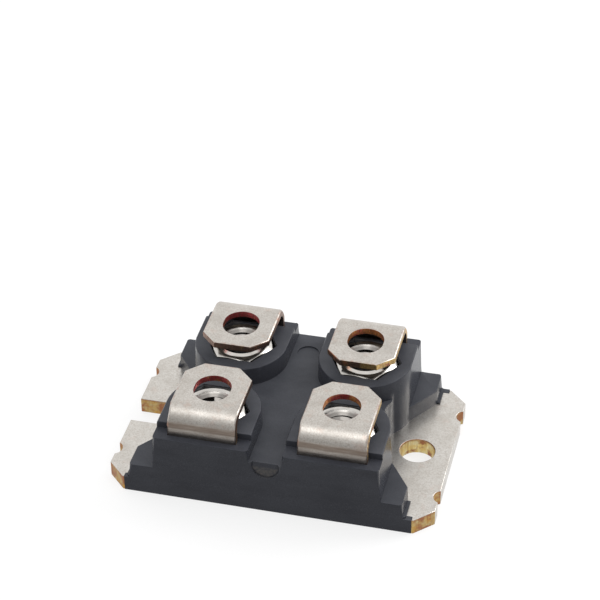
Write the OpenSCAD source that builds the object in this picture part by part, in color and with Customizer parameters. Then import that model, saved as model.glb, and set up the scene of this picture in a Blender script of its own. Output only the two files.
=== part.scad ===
/* [Base plate] */
// Thickness of the copper base plate
plate_thickness = 2; // [1.6:0.1:3]
// Distance between the centres of the fixing hole and the fixing slot
fixing_pitch = 30.2; // [29:0.1:33]
// Diameter of the fixing hole and width of the fixing slot
fixing_diameter = 4.1; // [3.4:0.1:4.8]
// Distance from a fixing centre to the plate's end
fixing_end = 3.95; // [3:0.05:6]
// Length cut off each corner of the plate, along both edges
plate_chamfer = 2.1; // [0.5:0.1:3]
// Full-width ear left between the corner cut and the moulded side strip
plate_ear = 0.2; // [0.1:0.05:1]
// Depth of the long recess in each side of the plate that the moulding fills
strip_depth = 0.6; // [0.3:0.05:1]
// Distance of the tie bar notches from the plate's centre line
notch_offset = 7.4; // [5:0.1:8.5]
// Width of a tie bar notch along the plate's end
notch_width = 2; // [0.8:0.1:2.4]
// Depth of a tie bar notch
notch_depth = 0.65; // [0.2:0.05:0.9]

/* [Terminals] */
// Distance between terminal holes along the module
terminal_pitch_x = 15; // [14:0.1:17]
// Distance between terminal holes across the module
terminal_pitch_y = 12.7; // [12:0.1:14.5]
// Width of a terminal strap
terminal_width = 8; // [6.5:0.1:9]
// Thickness of the terminal strap
terminal_thickness = 0.8; // [0.5:0.05:1]
// Width of the screw hole in a strap
hole_width = 4.2; // [3.4:0.1:5]
// Length of the screw hole along the strap
hole_length = 4.7; // [4.2:0.1:5.4]
// Distance from the hole centre to the strap's free end
terminal_tip = 4.3; // [3.2:0.1:5]
// Corners cut off the free end
tip_chamfer = 1.8; // [0.4:0.1:2.4]
// Distance from the hole centre to the start of the fold
terminal_flat = 3.9; // [3.4:0.1:4.6]
// Outer radius of the shallow shoulder that starts the fold
shoulder_radius = 4; // [2:0.1:6]
// Turn of the shoulder, in degrees
shoulder_angle = 25; // [10:1:35]
// Outer radius of the tight part of the fold
fold_radius = 1.2; // [1.05:0.05:1.8]
// Turn of the tight part of the fold, in degrees
fold_angle = 125; // [110:1:135]
// Straight run between the fold and the neck
fold_return = 0.32; // [0.1:0.02:0.6]
// Radius of the hollow where the strap turns down into the moulding
neck_radius = 0.4; // [0.2:0.05:0.8]
// Width of the leg inside the moulding
leg_width = 3.6; // [2.5:0.1:5]
// Gap between the end of the copper and the side of the leg's foot
foot_inset = 0.2; // [0.1:0.05:1]
// Outer radius of the bend into the foot
foot_radius = 1.2; // [1.05:0.05:1.8]
// Length of the foot that lies on the copper
foot_overlap = 1.7; // [1:0.1:2]

/* [Nuts] */
// Width of a nut across its flats
nut_flats = 7; // [6:0.1:8]
// Height of a nut
nut_height = 3.2; // [2.4:0.1:4]
// Bore of a nut at its thread crests
nut_bore = 3.3; // [2.5:0.1:4]
// Diameter of the countersink at each end of the bore
nut_countersink = 5.2; // [4.1:0.1:5.4]
// Width of the bevel on the nut's corners, at each end
nut_bevel = 0.85; // [0.5:0.05:1.2]
// Gap between a nut's flat and its pocket
nut_clearance = 0.25; // [0.04:0.01:0.3]
// Depth of the pocket that a nut sits in
nut_sink = 3.1; // [2.3:0.1:3.5]
// Gap between a nut and the strap over it
nut_headroom = 1.7; // [0.9:0.1:2.3]
// Diameter of the screw well below a nut
well_diameter = 4.6; // [4.4:0.1:5.4]
// Depth of the screw well below a nut
well_depth = 0.8; // [0.6:0.1:1.6]

/* [Housing] */
// Radius of a boss at its top
boss_radius = 5.5; // [5:0.1:6]
// Extra radius of a boss at its foot
boss_draft = 0.3; // [0.05:0.05:0.5]
// Bevel round the top of a boss
boss_bevel = 0.15; // [0.05:0.05:0.4]
// Wall between the nut pocket and the boss's flat outer face
boss_lip = 0.25; // [0.2:0.01:0.8]
// Step from the boss top down to the ledge round the terminals
boss_step = 0.8; // [0.4:0.1:1.4]
// Depth of the cross channel below the boss tops
channel_depth = 2.35; // [1.6:0.05:3]
// Moulding outside the terminal leg, at the ledge
leg_cover = 0.85; // [0.5:0.05:1.2]
// Moulding between the terminal leg and the gel chamber
leg_wall = 0.9; // [0.4:0.05:1.2]
// Lean of each long wall from the base up to the ledge
wall_draft = 0.35; // [0.1:0.05:0.5]
// Moulding outside the plate's ears at the base
side_cover = 0.05; // [0.02:0.01:0.3]
// Height by which the plate stands below the moulding
plate_stand = 0.05; // [0.02:0.01:0.2]
// Radius kept free round each fixing for a screw head
recess_radius = 4; // [3.2:0.1:4.4]
// Depth to which that free radius cuts into the end wall
recess_depth = 0.5; // [0.2:0.05:0.8]
// End wall left between the recess and the gel chamber
end_wall = 0.7; // [0.5:0.05:1.2]
// Height of the low cheeks at the ends above the plate
cheek_rise = 2.05; // [1:0.05:3]
// Length of a cheek beyond the boss
cheek_reach = 2.8; // [1.6:0.05:3]
// Extra length of the two cheeks beside the slot
slot_cheek = 0.35; // [0:0.05:0.5]
// Distance from the centre line to where a cheek's slanted wall leaves the boss
cheek_root = 4.9; // [4.4:0.1:5.4]
// Distance from the centre line to where the slanted wall meets the cheek's end
cheek_shoulder = 9.1; // [7.5:0.1:10]
// Lean of a cheek's end face
cheek_draft = 0.15; // [0.05:0.05:0.4]
// Height of the thin moulding flash round a cheek's foot
flash_height = 0.2; // [0.1:0.05:0.4]
// Width of that flash
flash_width = 0.3; // [0.1:0.05:0.4]
// Radius of the gate scar on the front wall
gate_radius = 1.5; // [0.8:0.05:1.7]
// Straight height of the gate scar above its round end
gate_drop = 0.55; // [0.2:0.05:1.5]
// Depth of the gate scar
gate_depth = 0.3; // [0.1:0.05:0.5]
// Diameter of the ejector mark in the channel
ejector_diameter = 2.6; // [1.5:0.1:3.4]
// Depth of the ejector mark
ejector_depth = 0.15; // [0.05:0.05:0.3]
// Distance of the ejector mark from the module's centre
ejector_offset = 8.9; // [6:0.1:10]

/* [Substrate and chips] */
// Thickness of each solder layer
solder_thickness = 0.1; // [0.05:0.01:0.2]
// Thickness of the copper bonded to the ceramic
copper_thickness = 0.3; // [0.2:0.05:0.4]
// Thickness of the ceramic tile
ceramic_thickness = 0.64; // [0.38:0.01:1]
// Bare ceramic round the copper
copper_margin = 0.5; // [0.3:0.05:0.8]
// Gap between copper islands
island_gap = 1; // [0.6:0.05:1.2]
// Copper left beside the chips on the collector band
band_margin = 0.5; // [0.3:0.05:0.8]
// Length of the switching chip
igbt_length = 8; // [6:0.1:9]
// Width of the switching chip
igbt_width = 7; // [6.4:0.1:8]
// Side of the square diode chip
diode_size = 6; // [5:0.1:6.4]
// Thickness of the chips
die_thickness = 0.3; // [0.15:0.05:0.4]
// Distance from the collector band's ends to the chips
die_inset = 1; // [0.5:0.1:1.5]
// Diameter of the power bond wires
wire_diameter = 0.4; // [0.25:0.05:0.5]
// Diameter of the gate and sense bond wires
sense_diameter = 0.25; // [0.15:0.05:0.35]
// Rise of a bond wire's loop
wire_rise = 0.75; // [0.6:0.05:1]
// Number of power wires on each chip
wire_count = 4; // [2:1:4]
// Distance between power wires
wire_pitch = 1.4; // [1.1:0.05:1.6]
// Gap between the substrate and the chamber wall
gel_margin = 0.4; // [0.2:0.05:0.8]
// Gel over the tops of the wires
gel_cover = 0.15; // [0.1:0.05:0.4]
// Moulding between the gel chamber and the screw wells
roof = 0.5; // [0.4:0.05:0.8]

/* [Hidden] */
$fn = 64;
// Overlap of cutting shapes with free air
past = 1;
// The module's corners: signs of X and Y
corners = [for (sx = [-1, 1], sy = [-1, 1]) [sx, sy]];
boss_x = terminal_pitch_x / 2;
boss_y = terminal_pitch_y / 2;
// A loose nut lies turned in its pocket, until its corners are close to the walls
nut_turn = 0.85 * (30 - acos(min(1, (nut_flats + 2 * nut_clearance) * cos(30) / nut_flats)));
fixing_x = fixing_pitch / 2;

// Heights of the stack, from the base up
lower_copper_z = plate_thickness + solder_thickness;
ceramic_z = lower_copper_z + copper_thickness;
upper_copper_z = ceramic_z + ceramic_thickness;
copper_top = upper_copper_z + copper_thickness;
seat_z = copper_top + solder_thickness;
die_top = seat_z + die_thickness;
chamber_top = die_top + wire_diameter + wire_rise + gel_cover;
well_z = chamber_top + roof;
nut_z = well_z + well_depth;
boss_top = nut_z + nut_sink;
ledge_z = boss_top - boss_step;
channel_z = boss_top - channel_depth;
strap_z = nut_z + nut_height + nut_headroom;
terminal_top = strap_z + terminal_thickness;
cheek_z = plate_thickness + cheek_rise;

// The strap's outer face, outward from the hole centre and up from the base
fold_turn = shoulder_angle + fold_angle;
shoulder_out = terminal_flat + shoulder_radius * sin(shoulder_angle);
shoulder_end_z = terminal_top - shoulder_radius * (1 - cos(shoulder_angle));
fold_out = shoulder_out + fold_radius * (sin(fold_turn) - sin(shoulder_angle));
fold_end_z = shoulder_end_z - fold_radius * (cos(shoulder_angle) - cos(fold_turn));
leg_out = fold_out + fold_return * cos(fold_turn) - neck_radius * (1 - sin(fold_turn));
leg_top_z = fold_end_z - fold_return * sin(fold_turn) + neck_radius * cos(fold_turn);
leg_y = boss_y + leg_out;
leg_inner_y = leg_y - terminal_thickness;

// Plan sizes that follow from the terminals and the fixings
wall_top_y = leg_y + leg_cover;
wall_base_y = wall_top_y - wall_draft;
plate_y = wall_base_y - side_cover;
plate_x = fixing_x + fixing_end;
strip_x = plate_x - plate_chamfer - plate_ear;
strip_y = plate_y - strip_depth;
chamber_x = fixing_x - recess_radius - end_wall;
chamber_y = leg_inner_y - leg_wall;
ceramic_x = chamber_x - gel_margin;
ceramic_y = chamber_y - gel_margin;
copper_x = ceramic_x - copper_margin;
copper_y = ceramic_y - copper_margin;
band_y = igbt_width / 2 + band_margin;
island_y = band_y + island_gap;
foot_tip_y = copper_y - foot_overlap;
leg_x = copper_x - foot_inset - leg_width / 2;
waist_x = fixing_x - recess_radius + recess_depth;
boss_flat_y = boss_y + nut_flats / 2 + nut_clearance + boss_lip;
cheek_x = boss_x + boss_radius + cheek_reach;
slot_cheek_x = cheek_x + slot_cheek;
igbt_x = copper_x - die_inset - igbt_length / 2;
diode_x = -copper_x + die_inset + diode_size / 2;

// Bond points
wire_rows = [for (i = [0 : wire_count - 1]) (i - (wire_count - 1) / 2) * wire_pitch];
bond_inset = 0.9;
gate_inset = 0.5;
chip_edge_x = igbt_x - igbt_length / 2;
emitter_bond_y = igbt_width / 4;

// Draws a profile of outward distance and height, then gives it a width along X
module along_x(width) {
    rotate([90, 0, 90])
        linear_extrude(width, center = true)
            children();
}

// Places what is drawn at the +X +Y corner at another corner
module at_corner(sx, sy) {
    mirror([sx < 0 ? 1 : 0, 0, 0])
        mirror([0, sy < 0 ? 1 : 0, 0])
            children();
}

// A flat layer centred on the module
module sheet(half_x, half_y, z, thickness) {
    translate([-half_x, -half_y, z])
        cube([2 * half_x, 2 * half_y, thickness]);
}

// Outline of the plate: cut corners, recessed sides, fixing hole, fixing slot and tie bar notches
module plate_outline() {
    notch_radius = (pow(notch_width / 2, 2) + pow(notch_depth, 2)) / (2 * notch_depth);
    chamfer_x = plate_x - plate_chamfer;
    chamfer_y = plate_y - plate_chamfer;
    difference() {
        polygon([[plate_x, -chamfer_y], [plate_x, chamfer_y], [chamfer_x, plate_y],
            [-chamfer_x, plate_y], [-plate_x, chamfer_y], [-plate_x, -chamfer_y],
            [-chamfer_x, -plate_y], [chamfer_x, -plate_y]]);
        for (sy = [-1, 1])
            mirror([0, sy < 0 ? 1 : 0])
                translate([-strip_x, strip_y])
                    square([2 * strip_x, strip_depth + past]);
        translate([fixing_x, 0])
            circle(d = fixing_diameter);
        translate([-fixing_x, 0])
            circle(d = fixing_diameter);
        translate([-plate_x - past, -fixing_diameter / 2])
            square([plate_x - fixing_x + past, fixing_diameter]);
        for (c = corners)
            translate([c[0] * (plate_x + notch_radius - notch_depth), c[1] * notch_offset])
                circle(notch_radius);
    }
}

module base_plate() {
    color("#d9d5cd")
        linear_extrude(plate_thickness)
            plate_outline();
}

module base_solder() {
    color("#a8a9ad")
        sheet(copper_x, copper_y, plate_thickness, solder_thickness);
}

module lower_copper() {
    color("#b87345")
        sheet(copper_x, copper_y, lower_copper_z, copper_thickness);
}

module ceramic_tile() {
    color("#f0eee6")
        sheet(ceramic_x, ceramic_y, ceramic_z, ceramic_thickness);
}

// An island of the upper copper between two corner points
module island(low, high) {
    translate([low[0], low[1], upper_copper_z])
        cube([high[0] - low[0], high[1] - low[1], copper_thickness]);
}

// The collector's copper: a band under both chips, run out to the collector terminal
module collector_copper() {
    color("#b87345")
        union() {
            island([-copper_x, -band_y], [copper_x, band_y]);
            island([island_gap / 2, 0], [copper_x, copper_y]);
        }
}

module emitter_copper() {
    color("#b87345")
        island([island_gap / 2, -copper_y], [copper_x, -island_y]);
}

module gate_copper() {
    color("#b87345")
        island([-copper_x, -copper_y], [-island_gap / 2, -island_y]);
}

module kelvin_copper() {
    color("#b87345")
        island([-copper_x, island_y], [-island_gap / 2, copper_y]);
}

// A rectangle centred on the module's long axis, for a chip and for its solder
module chip(x, length, width, z, thickness) {
    translate([x - length / 2, -width / 2, z])
        cube([length, width, thickness]);
}

module die_solder() {
    color("#a8a9ad") {
        chip(igbt_x, igbt_length, igbt_width, copper_top, solder_thickness);
        chip(diode_x, diode_size, diode_size, copper_top, solder_thickness);
    }
}

module igbt_die() {
    color("#5d6470")
        chip(igbt_x, igbt_length, igbt_width, seat_z, die_thickness);
}

module diode_die() {
    color("#6a6f78")
        chip(diode_x, diode_size, diode_size, seat_z, die_thickness);
}

// A bond wire: a wedge foot on each of two pads, and a round arch between them
module bond_wire(start, end, diameter) {
    run = norm([end[0] - start[0], end[1] - start[1]]);
    drop = end[2] - start[2];
    chord = norm([run, drop]);
    radius = (pow(chord / 2, 2) + pow(wire_rise, 2)) / (2 * wire_rise);
    half_turn = asin(chord / 2 / radius);
    translate(start)
        rotate(atan2(end[1] - start[1], end[0] - start[0])) {
            for (foot = [[0, 0], [run, drop]])
                translate([foot[0] - diameter, -0.6 * diameter, foot[1]])
                    cube([2 * diameter, 1.2 * diameter, diameter]);
            translate([run / 2, 0, drop / 2 + diameter / 2])
                rotate([0, -atan2(drop, run), 0])
                    translate([0, 0, wire_rise - radius])
                        rotate([90, 0, 0])
                            rotate(90 - half_turn)
                                rotate_extrude(angle = 2 * half_turn)
                                    translate([radius, 0])
                                        circle(d = diameter);
        }
}

module emitter_bond_wires() {
    color("#c9cbd0")
        for (row = wire_rows)
            bond_wire([igbt_x + row, -emitter_bond_y, die_top],
                [igbt_x + row, -island_y - bond_inset, copper_top], wire_diameter);
}

module diode_bond_wires() {
    color("#c9cbd0")
        for (row = wire_rows)
            bond_wire([diode_x + diode_size / 4, row, die_top],
                [chip_edge_x + bond_inset, row, die_top], wire_diameter);
}

// A thin wire from the edge of the switching chip to the island at one side
module sense_wire(side) {
    bond_wire([chip_edge_x + gate_inset, side * (igbt_width / 2 - gate_inset), die_top],
        [-island_gap / 2 - 2 * bond_inset, side * (island_y + bond_inset), copper_top],
        sense_diameter);
}

module gate_bond_wire() {
    color("#c9cbd0")
        sense_wire(-1);
}

module kelvin_bond_wire() {
    color("#c9cbd0")
        sense_wire(1);
}

// The solder under each terminal foot
module terminal_solder() {
    color("#a8a9ad")
        for (c = corners)
            at_corner(c[0], c[1])
                translate([leg_x - leg_width / 2, foot_tip_y, copper_top])
                    cube([leg_width, copper_y - foot_tip_y, solder_thickness]);
}

// The bent part of a strip whose outer face lies along the +X axis at the origin.
// A positive turn folds down, and its radius is the outer face's; a negative turn folds up.
module fold(radius, turn) {
    side = turn > 0 ? -1 : 1;
    inner = turn > 0 ? radius - terminal_thickness : radius;
    outer = inner + terminal_thickness;
    translate([0, side * radius])
        intersection() {
            difference() {
                circle(outer);
                circle(inner);
            }
            polygon(concat([[0, 0]], [for (k = [0 : 3])
                let (a = -90 * side - turn * k / 3) 2 * outer * [cos(a), sin(a)]]));
        }
}

// A folded strip: each run is a straight length, then a radius and a turn
module strip(runs, i = 0) {
    if (i < len(runs)) {
        straight = runs[i][0];
        radius = runs[i][1];
        turn = runs[i][2];
        side = turn > 0 ? -1 : 1;
        if (straight > 0)
            translate([0, -terminal_thickness])
                square([straight, terminal_thickness]);
        translate([straight, 0]) {
            if (turn != 0)
                fold(radius, turn);
            translate([radius * sin(abs(turn)), side * radius * (1 - cos(turn))])
                rotate(-turn)
                    strip(runs, i + 1);
        }
    }
}

// Side view of a terminal: flat top, shoulder, tight fold, neck, leg and foot
module terminal_profile() {
    foot_run = leg_y - foot_radius - foot_tip_y;
    translate([-terminal_tip, terminal_top])
        strip([
            [terminal_tip + terminal_flat, shoulder_radius, shoulder_angle],
            [0, fold_radius, fold_angle],
            [fold_return, neck_radius, 90 - fold_turn],
            [leg_top_z - seat_z - foot_radius, foot_radius, 90],
            [foot_run, 0, 0]]);
}

// One strap of sheet copper, drawn at the +X +Y corner
module terminal() {
    leg_shoulder_z = ledge_z - terminal_thickness;
    translate([boss_x, boss_y, 0])
        difference() {
            union() {
                translate([leg_x - boss_x, 0, 0])
                    along_x(leg_width)
                        terminal_profile();
                along_x(terminal_width)
                    intersection() {
                        terminal_profile();
                        translate([-terminal_tip - past, leg_shoulder_z])
                            square([2 * terminal_tip + leg_out, terminal_top]);
                    }
            }
            translate([0, 0, strap_z - past])
                linear_extrude(terminal_thickness + 2 * past) {
                    slot_run = hole_length - hole_width;
                    for (end = [-1, 1])
                        translate([0, end * slot_run / 2])
                            circle(d = hole_width);
                    square([hole_width, slot_run], center = true);
                    for (side = [-1, 1])
                        translate([side * terminal_width / 2, -terminal_tip])
                            rotate(45)
                                square(sqrt(2) * tip_chamfer, center = true);
                }
        }
}

module emitter_terminal() {
    color("#d6d2cb")
        at_corner(1, -1)
            terminal();
}

module gate_terminal() {
    color("#d6d2cb")
        at_corner(-1, -1)
            terminal();
}

module collector_terminal() {
    color("#d6d2cb")
        terminal();
}

module kelvin_terminal() {
    color("#d6d2cb")
        at_corner(-1, 1)
            terminal();
}

// The chamber over the substrate
module chamber() {
    sheet(chamber_x, chamber_y, plate_thickness, chamber_top - plate_thickness);
}

// Soft gel: what is left of the chamber round the substrate, chips and wires
module gel_fill() {
    color("#c8d4d8")
        difference() {
            chamber();
            base_solder();
            lower_copper();
            ceramic_tile();
            collector_copper();
            emitter_copper();
            gate_copper();
            kelvin_copper();
            die_solder();
            igbt_die();
            diode_die();
            emitter_bond_wires();
            diode_bond_wires();
            gate_bond_wire();
            kelvin_bond_wire();
            terminal_solder();
            for (c = corners)
                at_corner(c[0], c[1])
                    terminal();
        }
}

// Half of a boss's section from its axis out, with its lean and its bevelled rim
module boss_section() {
    height = boss_top - plate_thickness;
    polygon([[0, 0], [boss_radius + boss_draft, 0], [boss_radius, height - boss_bevel],
        [boss_radius - boss_bevel, height], [0, height]]);
}

// A boss at the +X +Y corner: round towards the module's middle, and run out to the long wall,
// where it is cut down to the ledge
module boss() {
    run_out = wall_top_y - boss_y;
    translate([boss_x, boss_y, plate_thickness]) {
        rotate(180)
            rotate_extrude(angle = 180)
                boss_section();
        difference() {
            translate([0, run_out, 0])
                rotate([90, 0, 0])
                    linear_extrude(run_out) {
                        boss_section();
                        mirror([1, 0])
                            boss_section();
                    }
            translate([-boss_x, boss_flat_y - boss_y, ledge_z - plate_thickness])
                cube([2 * boss_x, run_out, boss_step + past]);
        }
    }
}

// Plan of the low cheek beside a fixing, at the +X +Y corner, out to its end
module cheek_plan(end_x) {
    root_x = boss_x + boss_radius;
    polygon([[boss_x, cheek_root], [root_x, cheek_root], [end_x, cheek_shoulder],
        [end_x, wall_top_y], [boss_x, wall_top_y]]);
}

// Plan of the body below the channel: two long walls and a waist between the fixings
module body_plan() {
    for (sy = [-1, 1])
        mirror([0, sy < 0 ? 1 : 0])
            translate([-boss_x, boss_y])
                square([2 * boss_x, wall_top_y - boss_y]);
    difference() {
        square([2 * waist_x, 2 * boss_y], center = true);
        for (sx = [-1, 1])
            translate([sx * fixing_x, 0])
                circle(recess_radius);
    }
}

// The moulding's outer walls, which lean in towards the base and towards the cheek tops
module wall_lean() {
    height = terminal_top;
    along_x(2 * max(strip_x, slot_cheek_x))
        polygon([[-wall_base_y, 0], [wall_base_y, 0], [wall_top_y, ledge_z],
            [wall_top_y, height], [-wall_top_y, height], [-wall_top_y, ledge_z]]);
}

module end_lean() {
    rotate([90, 0, 0])
        linear_extrude(2 * wall_top_y + past, center = true)
            polygon([[-strip_x, 0], [strip_x, 0], [strip_x, plate_thickness],
                [cheek_x, plate_thickness], [cheek_x - cheek_draft, cheek_z],
                [cheek_x - cheek_draft, terminal_top],
                [-slot_cheek_x + cheek_draft, terminal_top],
                [-slot_cheek_x + cheek_draft, cheek_z], [-slot_cheek_x, plate_thickness],
                [-strip_x, plate_thickness]]);
}

// The moulding before its pockets are cut: side strips, body, ledges, cheeks and bosses
module moulding() {
    intersection() {
        union() {
            for (sy = [-1, 1])
                mirror([0, sy < 0 ? 1 : 0, 0])
                    translate([-strip_x, strip_y, plate_stand])
                        cube([2 * strip_x, wall_top_y - strip_y, plate_thickness - plate_stand]);
            translate([0, 0, plate_thickness])
                linear_extrude(channel_z - plate_thickness)
                    body_plan();
            for (c = corners)
                at_corner(c[0], c[1]) {
                    boss();
                    translate([0, 0, plate_thickness])
                        linear_extrude(cheek_rise)
                            cheek_plan(c[0] < 0 ? slot_cheek_x : cheek_x);
                }
        }
        wall_lean();
        end_lean();
    }
    for (c = corners)
        at_corner(c[0], c[1])
            translate([(c[0] < 0 ? slot_cheek_x : cheek_x) - cheek_draft, cheek_shoulder,
                plate_thickness])
                cube([cheek_draft + flash_width, plate_y - cheek_shoulder, flash_height]);
}

// A nut pocket and the screw well below it, at the +X +Y corner
module nut_pocket() {
    translate([boss_x, boss_y, nut_z])
        cylinder(d = (nut_flats + 2 * nut_clearance) / cos(30), h = nut_sink + past, $fn = 6);
    translate([boss_x, boss_y, well_z])
        cylinder(d = well_diameter, h = well_depth + past);
}

// The dark moulded body, cast round the terminal legs and over the substrate
module housing() {
    gate_wall_y = wall_base_y + wall_draft * channel_z / ledge_z;
    color("#4b4d53")
        difference() {
            moulding();
            chamber();
            for (c = corners)
                at_corner(c[0], c[1]) {
                    terminal();
                    nut_pocket();
                }
            translate([0, gate_depth - gate_wall_y, channel_z - gate_drop])
                rotate([90, 0, 0])
                    linear_extrude(gate_depth + past) {
                        circle(gate_radius);
                        translate([-gate_radius, 0])
                            square([2 * gate_radius, gate_drop + past]);
                    }
            translate([0, ejector_offset, channel_z - ejector_depth])
                cylinder(d = ejector_diameter, h = ejector_depth + past);
        }
}

// A hexagon nut with bevelled corners and a countersunk bore, at the +X +Y corner
module nut(turn) {
    corner_radius = nut_flats / 2 / cos(30);
    face_radius = corner_radius - nut_bevel;
    bevel_height = nut_bevel * tan(30);
    sink_height = (nut_countersink - nut_bore) / 2 * tan(30);
    translate([boss_x, boss_y, nut_z])
        rotate(turn)
            difference() {
                intersection() {
                    cylinder(r = corner_radius, h = nut_height, $fn = 6);
                    rotate_extrude()
                        polygon([[0, 0], [face_radius, 0], [corner_radius, bevel_height],
                            [corner_radius, nut_height - bevel_height], [face_radius, nut_height],
                            [0, nut_height]]);
                }
                translate([0, 0, -past])
                    cylinder(d = nut_bore, h = nut_height + 2 * past);
                cylinder(d1 = nut_countersink, d2 = nut_bore, h = sink_height);
                translate([0, 0, nut_height - sink_height])
                    cylinder(d1 = nut_bore, d2 = nut_countersink, h = sink_height);
            }
}

module terminal_nuts() {
    color("#e4e2dc")
        for (c = corners)
            at_corner(c[0], c[1])
                nut(c[0] * c[1] * nut_turn);
}

base_plate();
base_solder();
lower_copper();
ceramic_tile();
collector_copper();
emitter_copper();
gate_copper();
kelvin_copper();
die_solder();
igbt_die();
diode_die();
emitter_bond_wires();
diode_bond_wires();
gate_bond_wire();
kelvin_bond_wire();
terminal_solder();
emitter_terminal();
gate_terminal();
collector_terminal();
kelvin_terminal();
gel_fill();
housing();
terminal_nuts();
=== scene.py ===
import math

import bmesh
import bpy
from mathutils import Matrix, Vector


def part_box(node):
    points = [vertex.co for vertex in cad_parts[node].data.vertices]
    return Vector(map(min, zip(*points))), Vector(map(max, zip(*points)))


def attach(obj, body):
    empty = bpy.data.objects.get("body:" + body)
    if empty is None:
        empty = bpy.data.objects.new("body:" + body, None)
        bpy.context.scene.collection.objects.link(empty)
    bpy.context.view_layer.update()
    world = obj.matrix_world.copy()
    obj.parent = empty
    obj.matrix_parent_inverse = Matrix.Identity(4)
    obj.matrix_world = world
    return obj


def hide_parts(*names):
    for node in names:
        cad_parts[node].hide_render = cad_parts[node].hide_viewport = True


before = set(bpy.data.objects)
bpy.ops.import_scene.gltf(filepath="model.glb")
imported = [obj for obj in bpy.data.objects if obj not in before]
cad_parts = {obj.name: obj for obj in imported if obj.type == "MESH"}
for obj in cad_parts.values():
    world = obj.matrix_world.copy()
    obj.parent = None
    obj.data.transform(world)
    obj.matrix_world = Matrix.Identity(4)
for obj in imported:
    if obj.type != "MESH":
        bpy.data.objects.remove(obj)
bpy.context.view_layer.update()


# Base plate: a blank stamped from nickel-plated copper sheet. It carries the whole stack and bolts
# to the heat sink. The punch rolls its upper edges over and leaves bare metal on the sheared sides.
MM = 0.001
NEAR = 0.001 * MM
PLATE_END, _, PLATE_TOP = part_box("base_plate")[1]
PLATE_ROLLOVER = 0.08 * MM
BORE_PLACE = Vector((15.1 * MM, 0))
BORE_RADIUS = 2.05 * MM
PLATE_BURR = 0.04 * MM
PLATE_RIM = (1.65, 1.95)
NICKEL = (0.645, 0.622, 0.586)
NICKEL_DULL = (0.560, 0.533, 0.492)
NICKEL_SPECK = (0.430, 0.390, 0.345)
NICKEL_STAIN = (0.560, 0.395, 0.320)
SHEARED_GOLD = (0.500, 0.305, 0.080)
SHEARED_PALE = (0.520, 0.440, 0.220)
SHEARED_BROWN = (0.330, 0.150, 0.075)
BORED_GOLD = (0.720, 0.560, 0.210)
BORED_PALE = (0.760, 0.700, 0.420)


def take_up(piece):
    """Makes one object the only selected and the active one."""
    bpy.ops.object.select_all(action="DESELECT")
    piece.select_set(True)
    bpy.context.view_layer.objects.active = piece


def pick(kind, wanted):
    """In edit mode, selects only the verts, edges or faces for which wanted() is true."""
    mode = {"verts": "VERT", "edges": "EDGE", "faces": "FACE"}[kind]
    bpy.ops.mesh.select_mode(type=mode)
    bpy.ops.mesh.select_all(action="DESELECT")
    data = bpy.context.edit_object.data
    mesh = bmesh.from_edit_mesh(data)
    chosen = [part for part in getattr(mesh, kind) if wanted(part)]
    for part in chosen:
        part.select_set(True)
    mesh.select_flush_mode()
    bmesh.update_edit_mesh(data)


def merged_copy(node, name):
    """A new piece with a CAD node's shape, its loose triangles joined into whole faces."""
    piece = bpy.data.objects.new(name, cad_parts[node].data.copy())
    piece.data.name = name
    piece.data.materials.clear()
    bpy.context.scene.collection.objects.link(piece)
    take_up(piece)
    bpy.ops.mesh.customdata_custom_splitnormals_clear()
    bpy.ops.object.mode_set(mode="EDIT")
    bpy.ops.mesh.select_all(action="SELECT")
    bpy.ops.mesh.remove_doubles(threshold=0.0005 * MM)
    bpy.ops.mesh.dissolve_limited(angle_limit=math.radians(0.5))
    bpy.ops.object.mode_set(mode="OBJECT")
    return piece


def apply_modifier(piece, kind, **settings):
    """Adds a modifier to a piece and applies it at once."""
    take_up(piece)
    bpy.ops.object.modifier_add(type=kind)
    modifier = piece.modifiers[-1]
    for key, value in settings.items():
        setattr(modifier, key, value)
    bpy.ops.object.modifier_apply(modifier=modifier.name)


def smooth_rounds(piece, degrees):
    """Shades rounds smoothly and keeps broad faces flat up to their edges."""
    take_up(piece)
    bpy.ops.object.shade_smooth_by_angle(angle=math.radians(degrees))
    apply_modifier(piece, "WEIGHTED_NORMAL", keep_sharp=True, weight=100)


def new_finish(name):
    """A new material: its node tree, its shader and its surface coordinates in millimetres."""
    material = bpy.data.materials.new(name)
    material.use_nodes = True
    tree = material.node_tree
    place = tree.nodes.new("ShaderNodeTexCoord")
    in_mm = tree.nodes.new("ShaderNodeMapping")
    in_mm.inputs["Scale"].default_value = (1 / MM, 1 / MM, 1 / MM)
    tree.links.new(place.outputs["Object"], in_mm.inputs["Vector"])
    return material, tree, tree.nodes["Principled BSDF"], in_mm.outputs["Vector"]


def mottle(tree, place, size, detail=4.0, roughness=0.55):
    """Noise whose patches are about size millimetres across; a triple draws them out along axes."""
    sizes = size if isinstance(size, tuple) else (size, size, size)
    drawn = tree.nodes.new("ShaderNodeMapping")
    drawn.inputs["Scale"].default_value = [1 / s for s in sizes]
    tree.links.new(place, drawn.inputs["Vector"])
    noise = tree.nodes.new("ShaderNodeTexNoise")
    noise.inputs["Scale"].default_value = 1.0
    noise.inputs["Detail"].default_value = detail
    noise.inputs["Roughness"].default_value = roughness
    tree.links.new(drawn.outputs["Vector"], noise.inputs["Vector"])
    return noise.outputs["Fac"]


def graded(tree, value, low, high, first=0.0, last=1.0):
    """Stretches a value so that low becomes first and high becomes last."""
    node = tree.nodes.new("ShaderNodeMapRange")
    node.inputs["From Min"].default_value = low
    node.inputs["From Max"].default_value = high
    node.inputs["To Min"].default_value = first
    node.inputs["To Max"].default_value = last
    tree.links.new(value, node.inputs["Value"])
    return node.outputs["Result"]


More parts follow.
